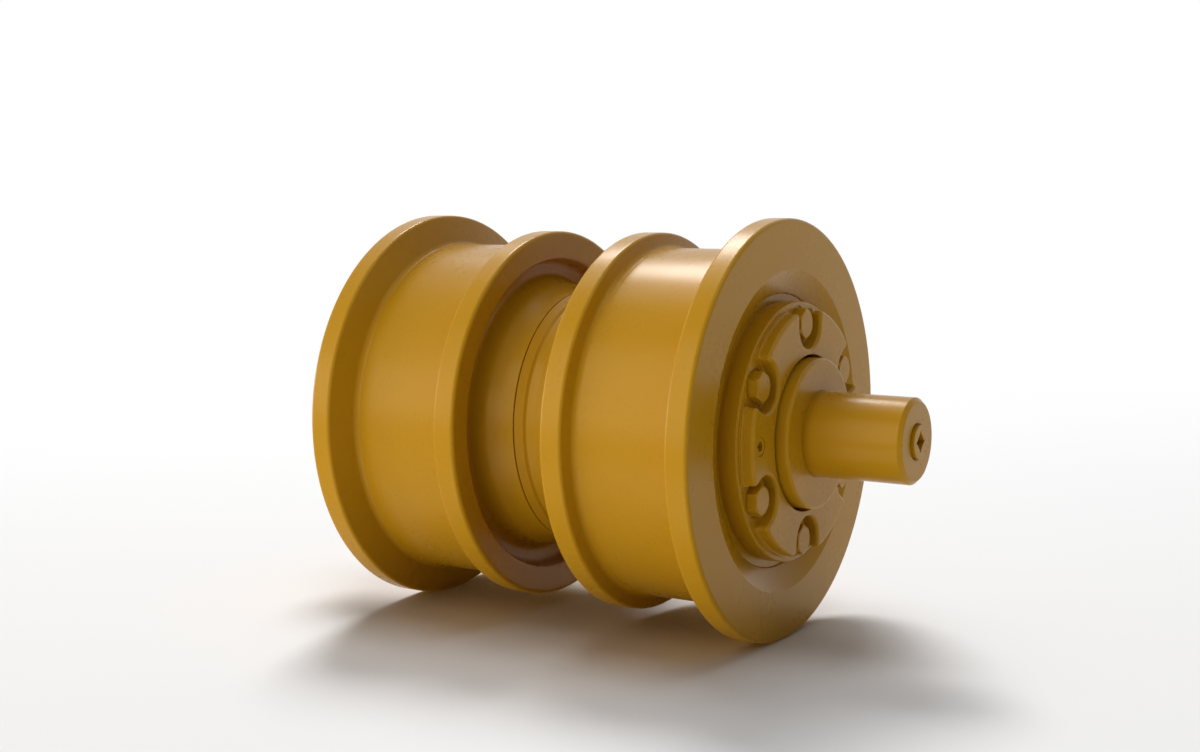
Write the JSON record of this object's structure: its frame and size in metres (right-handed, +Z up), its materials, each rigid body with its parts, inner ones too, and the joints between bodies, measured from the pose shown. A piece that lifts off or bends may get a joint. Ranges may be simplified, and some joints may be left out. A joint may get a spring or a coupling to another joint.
{
  "type": "track roller",
  "caption": "Double flange track roller: a flanged, welded shell with bolted end covers that turns on a fixed shaft with a collar at each end.",
  "frame": {"origin": "middle of the shaft's length, on the axis that the roller turns about", "axes": "+Y along the shaft towards the blind end, so the oil plug points to -Y; +Z up, through one bolt of each cover; +X to the right seen from the plug end"},
  "size_m": [0.376, 0.6342, 0.376],
  "materials": {
    "ochre_paint": "satin ochre paint over cast and machined steel",
    "bearing_bronze": "machined bronze",
    "hardened_steel": "ground",
    "lapped_iron": "lapped face, cast back",
    "seal_rubber": "matt"
  },
  "bodies": {
    "shaft": {"shaft": "ochre_paint", "shaft_plug": "ochre_paint", "collar_plug_end": "ochre_paint", "collar_blind_end": "ochre_paint", "collar_pin_plug_end": "hardened_steel", "collar_pin_blind_end": "hardened_steel", "collar_seal_plug_end": "seal_rubber", "collar_seal_blind_end": "seal_rubber", "fixed_seal_ring_plug_end": "lapped_iron", "fixed_seal_ring_blind_end": "lapped_iron", "fixed_load_ring_plug_end": "seal_rubber", "fixed_load_ring_blind_end": "seal_rubber"},
    "roller": {"centre_weld": "ochre_paint", "shell_half_plug_end": "ochre_paint", "shell_half_blind_end": "ochre_paint", "end_cover_plug_end": "ochre_paint", "end_cover_blind_end": "ochre_paint", "cover_bolts_plug_end": "ochre_paint", "cover_bolts_blind_end": "ochre_paint", "jacking_screws_plug_end": "ochre_paint", "jacking_screws_blind_end": "ochre_paint", "bushing_plug_end": "bearing_bronze", "bushing_blind_end": "bearing_bronze", "bushing_dowel_plug_end": "hardened_steel", "bushing_dowel_blind_end": "hardened_steel", "cover_seal_plug_end": "seal_rubber", "cover_seal_blind_end": "seal_rubber", "rotating_seal_ring_plug_end": "lapped_iron", "rotating_seal_ring_blind_end": "lapped_iron", "rotating_load_ring_plug_end": "seal_rubber", "rotating_load_ring_blind_end": "seal_rubber"}
  },
  "joints": [
    {"name": "roller_spin", "type": "hinge", "parent": "shaft", "child": "roller", "pos_m": [0, 0, 0], "axis": [0, 1, 0], "continuous": true}
  ]
}
